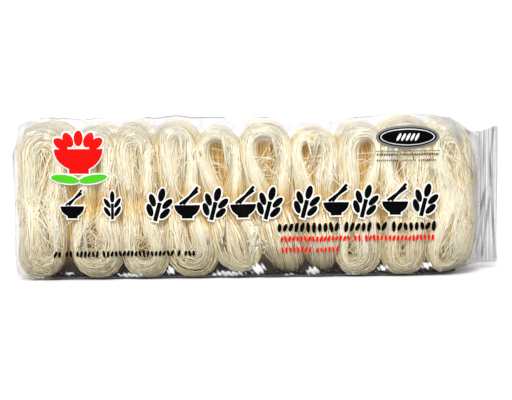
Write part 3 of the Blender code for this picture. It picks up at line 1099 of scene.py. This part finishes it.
def sprig(x, z, size, stroke, grow, lean=LEAN):
    """A stem with grains in pairs and one on top. Size is its height, stroke a grain's width."""
    parts = [("bar", -0.22 * size, 0.0, 0.62 * stroke, 0.56 * size, 0.0)]
    parts.append(("round", 0.30 * size, 0.0, stroke, 0.42 * size, 0.0))
    for along in (0.08 * size, -0.22 * size):
        for side in (-1, 1):
            parts.append(("round", along, side * 1.12 * stroke, 0.92 * stroke, 0.40 * size, side * 0.55))
    shapes = []
    for kind, up, across, width, height, spin in parts:
        shift_x, shift_z = turned(across, up, -lean)
        shapes.append(flat_shape(kind, x + shift_x, z + shift_z, width + grow, height + grow, -lean - spin))
    return shapes


def bowl(x, z, width, height, grow):
    """A bowl on its foot. z is its rim."""
    return [
        half_disc(x, z + 0.5 * grow, width + grow, height + grow),
        flat_shape("bar", x, z - height, 0.42 * width + grow, 0.11 * width + grow),
    ]


def bowl_with_sticks(x, z, size, stroke, grow):
    """A bowl with two sticks across its rim. Size is the whole height."""
    shapes = bowl(x, z - 0.02 * size, 0.9 * size, 0.46 * (0.9 * size), grow)
    for shift, turn in ((0.0, 0.62), (0.16, 0.86)):
        bar_x, bar_z = x + (0.06 + shift * 0.4) * size, z + (0.24 + shift * 0.4) * size
        shapes.append(flat_shape("bar", bar_x, bar_z, 0.78 * size + grow, 0.36 * stroke + grow, turn))
    return shapes


def row_of_grains(draw, left, right, z, height, width, gap):
    """Small slanted grains of uneven height, with a wider gap now and then."""
    shapes, x = [], left
    while x < right - width:
        tall = height * draw.uniform(0.72, 1.0)
        shapes.append(flat_shape("round", x + width / 2, z, width, tall, draw.uniform(-0.5, 0.3)))
        x += width + gap * (3.2 if draw.uniform() < 0.12 else 1.0)
    return shapes


black_shapes, white_shapes, red_shapes, green_shapes = [], [], [], []
BIG_ROW = (
    (-66, 50.5, "sprig"), (-47.5, 50.5, "bowl"), (-29, 50.5, "sprig"), (-10.5, 50.6, "bowl"),
    (7, 50.7, "sprig"), (31.5, 51.2, "sprig"), (51, 51.2, "bowl"), (70.5, 51.3, "sprig"),
    (90, 51.3, "bowl"), (110, 51.5, "sprig"),
)
for x, z, sign in BIG_ROW:
    for shapes, grow in ((black_shapes, 0.0), (white_shapes, 2.0)):
        if sign == "sprig":
            shapes += sprig(x, z, 22, 4.5, grow)
        else:
            shapes += bowl_with_sticks(x, z, 19, 5.4, grow)
for shapes, grow in ((black_shapes, 0.0), (white_shapes, 1.8)):
    shapes += bowl_with_sticks(-123.5, 50.5, 17.5, 3.6, grow)
    shapes += sprig(-97, 50.5, 18.5, 3.0, grow, lean=0.0)

# the red sign: a heaped bowl that stands on two green leaves
RED_SIGN_X = -118.5
for shapes, grow in ((red_shapes, 0.0), (white_shapes, 2.0)):
    shapes += bowl(RED_SIGN_X, 88.0, 32, 14.5, grow)
    for turn in (-1.1, -0.56, 0.0, 0.56, 1.1):
        grain_x, grain_z = RED_SIGN_X + 13 * math.sin(turn), 88.4 + 6.6 * math.cos(turn)
        shapes.append(flat_shape("round", grain_x, grain_z, 6.2 + grow, 10.4 + grow, -0.8 * turn))
for shapes, grow in ((green_shapes, 0.0), (white_shapes, 2.0)):
    for side in (-1, 1):
        leaf_x = RED_SIGN_X + 9.2 * side
        shapes.append(flat_shape("round", leaf_x, 68.2, 18.6 + grow, 5.4 + grow, side * 0.16))

# rows of grains in place of the small words
GRAIN_ROWS = (
    # ink, left end, right end, height over the ground, a grain's height and width, gap
    (black_shapes, 12, 119, 34.3, 7.4, 2.7, 1.1),
    (red_shapes, 14, 117, 26.7, 4.8, 1.7, 0.9),
    (red_shapes, 14.5, 53.5, 19.4, 4.8, 1.5, 1.1),
    (black_shapes, -136, -42, 18.2, 4.9, 1.8, 0.85),
    (black_shapes, 78, 119, 81.9, 1.9, 0.7, 0.45),
    (black_shapes, 78, 117, 78.0, 1.7, 0.6, 0.75),
)
draw = np.random.default_rng(11)
for shapes, *row in GRAIN_ROWS:
    shapes += row_of_grains(draw, *row)

# the line over the small rows, and the dark oval with a grey rim
OVAL_X, OVAL_Z = 98.4, 93.4
black_shapes.append(flat_shape("bar", OVAL_X, 84.2, 42, 0.35))


grey_oval, black_oval, pale_oval, inner_oval = (
    [flat_shape("round", OVAL_X, OVAL_Z, width, height)]
    for width, height in ((42, 15.4), (38.6, 12.8), (36.0, 10.9), (34.6, 9.7))
)
oval_sign = [flat_shape("round", OVAL_X + step, OVAL_Z, 1.7, 5.6, -0.5) for step in (-6, -3, 0, 3, 6)]
WHITE, BLACK = (246, 246, 242), (2, 2, 3)
COATS = (
    # piece, its shapes, how far it stands off the film in millimetres, its ink and colour
    ("white_print", white_shapes, 0.10, "white_ink", WHITE),
    ("sign_print", oval_sign, 0.68, "white_sign_ink", WHITE),
    ("oval_line_print", pale_oval, 0.44, "pale_ink", (225, 225, 222)),
    ("grey_print", grey_oval, 0.12, "grey_ink", (122, 122, 118)),
    ("black_print", black_shapes, 0.30, "black_ink", BLACK),
    ("oval_print", black_oval, 0.32, "black_oval_ink", BLACK),
    ("oval_heart_print", inner_oval, 0.56, "black_heart_ink", BLACK),
    ("red_print", red_shapes, 0.30, "red_ink", (232, 18, 16)),
    ("green_print", green_shapes, 0.30, "green_ink", (84, 208, 40)),
)
coats = [lay_on_film(name, shapes, lift * MM) for name, shapes, lift, *_ in COATS]
print("faces of each coat of ink", [len(coat.data.polygons) for coat in coats])


# %% [markdown]
# ## Finishes
#
# Dry rice noodles are ivory and a little translucent. Where they lie deep, light has passed through
# many strands and turns golden brown; the colour holds this as painted shade, by how deep each point lies.


# %% The finish of the strands
def strand_finish():
    finish = Finish("dry_rice_strand")
    depth_shade, tone = finish.attribute("depth_shade"), finish.attribute("tone")
    streaks = finish.noise(900, (1, 1, 0.15))
    pale = finish.mix_colours(tone, colour(254, 251, 238), colour(242, 230, 192))
    golden = finish.mix_colours(tone, colour(242, 216, 148), colour(228, 190, 112))
    brown = finish.mix_colours(tone, colour(212, 172, 104), colour(188, 146, 82))
    # painted shade: the further in a point lies, the more golden and then brown its colour
    shade = depth_shade + (streaks - 0.5) * 0.25
    look = finish.mix_colours(shade.between(0.02, 0.55), pale, golden)
    look = finish.mix_colours(shade.between(0.5, 1.05), look, brown)
    # painted shadow: where the shade value is over 1, low in the bag, strands turn dark brown
    look = finish.mix_colours(depth_shade.between(1.05, 1.9), look, colour(48, 36, 24))
    # painted shade: strands are greyer and darker towards the bottom of the bag
    low = (1 - finish.height().between(-0.002, 0.045)) * 0.66
    look = finish.mix_colours(low, look, colour(158, 142, 100))
    finish.set(Base_Color=look, Roughness=(1 - tone * 0.25) * 0.5)
    # painted light: the strands glow a little in their own colour, which lifts their shade
    finish.set(Emission_Color=look, Emission_Strength=0.1)
    finish.set(Normal=finish.bump(finish.noise(2600), 0.25, 0.0002))
    return finish.material


def heart_finish():
    finish = Finish("strands_in_shade")
    lines = finish.noise(620, (1, 1, 0.06), 3.0)
    # painted shade: the slab's brown stands for strands seen in shade
    dark, light = colour(174, 134, 70), colour(236, 206, 132)
    brown = finish.mix_colours(lines.between(0.35, 0.65), dark, light)
    # painted shadow: the slab turns nearly black at its foot
    low = 1 - finish.height().between(0.008, 0.026)
    look = finish.mix_colours(low, brown, colour(34, 25, 17))
    # painted light: the slab glows a little in its own colour
    finish.set(Base_Color=look, Emission_Color=look, Emission_Strength=0.2)
    finish.set(Roughness=0.6, Normal=finish.bump(lines, 0.8, 0.001))
    return finish.material


strand_look = strand_finish()
heart_look = heart_finish()


# %% [markdown]
# Clear film hardly tints what is behind it. It shows by its gloss, by a faint milky haze with painted
# reflection in it, and by painted grey shade where it is folded or seen edge-on. The brightest glints glow.


# %% The finish of the film and of the inks
def film_finish():
    finish = Finish("clear_film")
    haze_and_reflection, edge, white = (finish.attribute(name) for name in ("haze_and_reflection", "edge", "white"))
    clear = finish.node("ShaderNodeBsdfTransparent", {}, {"Color": (0.985, 0.985, 0.98, 1)})
    slope = finish.node("ShaderNodeLayerWeight", {}, {"Blend": 0.5}, output="Facing")
    # white is painted reflection that turns the milky grey to white
    milky = finish.mix_colours(white, colour(164, 165, 166), colour(252, 252, 250))
    finish.set(
        # edge paints grey shade along folds and edges, and a dark painted shadow along the bottom
        Base_Color=finish.mix_colours(edge.between(0.0, 1.3), milky, colour(24, 24, 26)),
        # painted light: where white is strongest, the glints glow
        Emission_Color=finish.mix_colours(white.between(0.7, 1.2), (0, 0, 0, 1), (1, 1, 1, 1)),
        Emission_Strength=0.35,
        Roughness=0.14,
        Normal=finish.bump(finish.noise(260, (1, 1, 0.5)), 0.15, 0.001),
    )
    body = Wire(finish, finish.shader.outputs[0])
    share = haze_and_reflection * 0.75 + edge * 0.7 + slope**4 * 0.55 + 0.03
    mixed = finish.node("ShaderNodeMixShader", {}, {0: share.between(-0.1, 1.3), 1: clear, 2: body})
    finish.feed(finish.output.inputs["Surface"], mixed)
    return finish.material


def ink_finish(name, shade):
    finish = Finish(name)
    speckle = finish.noise(700, detail=4.0).between(0.25, 0.45)
    paler = tuple(0.95 * value + 0.0015 for value in shade[:3]) + (1.0,)
    finish.set(Base_Color=finish.mix_colours(speckle, paler, shade), Roughness=0.3)
    finish.set(Specular_IOR_Level=0.03)
    finish.set(Normal=finish.bump(finish.noise(260, (1, 1, 0.5)), 0.08, 0.001))
    return finish.material


for coat, (*_, ink, shade) in zip(coats, COATS):
    coat.data.materials.clear()
    coat.data.materials.append(ink_finish(ink, colour(*shade)))
film.data.materials.append(film_finish())
for piece in (*skeins, deep_strands, strays):
    piece.data.materials.append(strand_look)
heart.data.materials.append(heart_look)


# %% [markdown]
# ## The studio
#
# A white sweep, a broad light from above and in front, a large window at the right, and soft light
# from all round.


# %% Floor and lights
def make_sweep():
    """A wide floor whose far edge is drawn up into a wall, with a rounded corner."""
    deselect_all()
    bpy.ops.mesh.primitive_plane_add(size=6, location=(0, 1.0, 0))
    sweep = bpy.context.object
    sweep.name = "studio_floor"
    bpy.ops.object.mode_set(mode="EDIT")
    bpy.ops.mesh.select_all(action="DESELECT")
    bpy.ops.object.mode_set(mode="OBJECT")
    for edge in sweep.data.edges:
        edge.select = all(sweep.data.vertices[number].co.y > 0 for number in edge.vertices)
    bpy.ops.object.mode_set(mode="EDIT")
    bpy.ops.mesh.select_mode(type="EDGE")
    bpy.ops.mesh.extrude_region_move(TRANSFORM_OT_translate={"value": (0, 0, 3)})
    bpy.ops.object.mode_set(mode="OBJECT")
    modify(sweep, "corner", "BEVEL", width=1.0, segments=12, limit_method="ANGLE")
    sweep.data.shade_smooth()
    finish = Finish("studio_white")
    finish.set(Base_Color=(0.95, 0.95, 0.95, 1), Roughness=0.9)
    sweep.data.materials.append(finish.material)
    return sweep


def add_light(name, kind, place, power, size=None):
    data = bpy.data.lights.new(name, kind)
    data.energy = power
    if kind == "SUN":
        data.angle = math.radians(30)
    else:
        data.shape, data.size, data.size_y = "RECTANGLE", size[0], size[1]
    light = bpy.data.objects.new(name, data)
    light.location = place
    towards = Vector((0, 0, 0.05)) - Vector(place)
    light.rotation_euler = towards.to_track_quat("-Z", "Y").to_euler()
    bpy.context.scene.collection.objects.link(light)
    return light


def set_world(above, below):
    """Soft white light from all round, weaker from below."""
    world = bpy.data.worlds.new("studio_air")
    bpy.context.scene.world = world
    world.use_nodes = True
    tree = world.node_tree
    place = tree.nodes.new("ShaderNodeTexCoord")
    split = tree.nodes.new("ShaderNodeSeparateXYZ")
    shift = tree.nodes.new("ShaderNodeMapRange")
    tree.links.new(place.outputs["Generated"], split.inputs[0])
    tree.links.new(split.outputs["Z"], shift.inputs["Value"])
    for name, value in (("From Min", -0.1), ("From Max", 0.1), ("To Min", below), ("To Max", above)):
        shift.inputs[name].default_value = value
    tree.links.new(shift.outputs["Result"], tree.nodes["Background"].inputs["Strength"])
    tree.nodes["Background"].inputs["Color"].default_value = (1, 1, 1, 1)


floor = make_sweep()
floor.visible_diffuse = False
floor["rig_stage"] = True
add_light("high_light", "SUN", (-0.25, -1.0, 0.85), 2.6)
add_light("window_light", "AREA", (0.5, -1.0, 0.55), 3.0, (0.5, 0.7))
set_world(0.78, 0.12)
bpy.context.scene.view_settings.view_transform = "Standard"

# %% [markdown]
# ## Tie every piece to the bag
#
# Nothing in the bag moves by itself, so all pieces ride on its one body. The film stands for the
# solid, which is hidden.

for piece in (film, heart, deep_strands, strays, *skeins, *coats):
    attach(piece, "root")
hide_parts("vermicelli_bag")
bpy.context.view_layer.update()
triangles = 0
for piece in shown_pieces():
    if piece.type == "MESH":
        triangles += sum(len(face.vertices) - 2 for face in piece.data.polygons)
print("triangles", triangles)
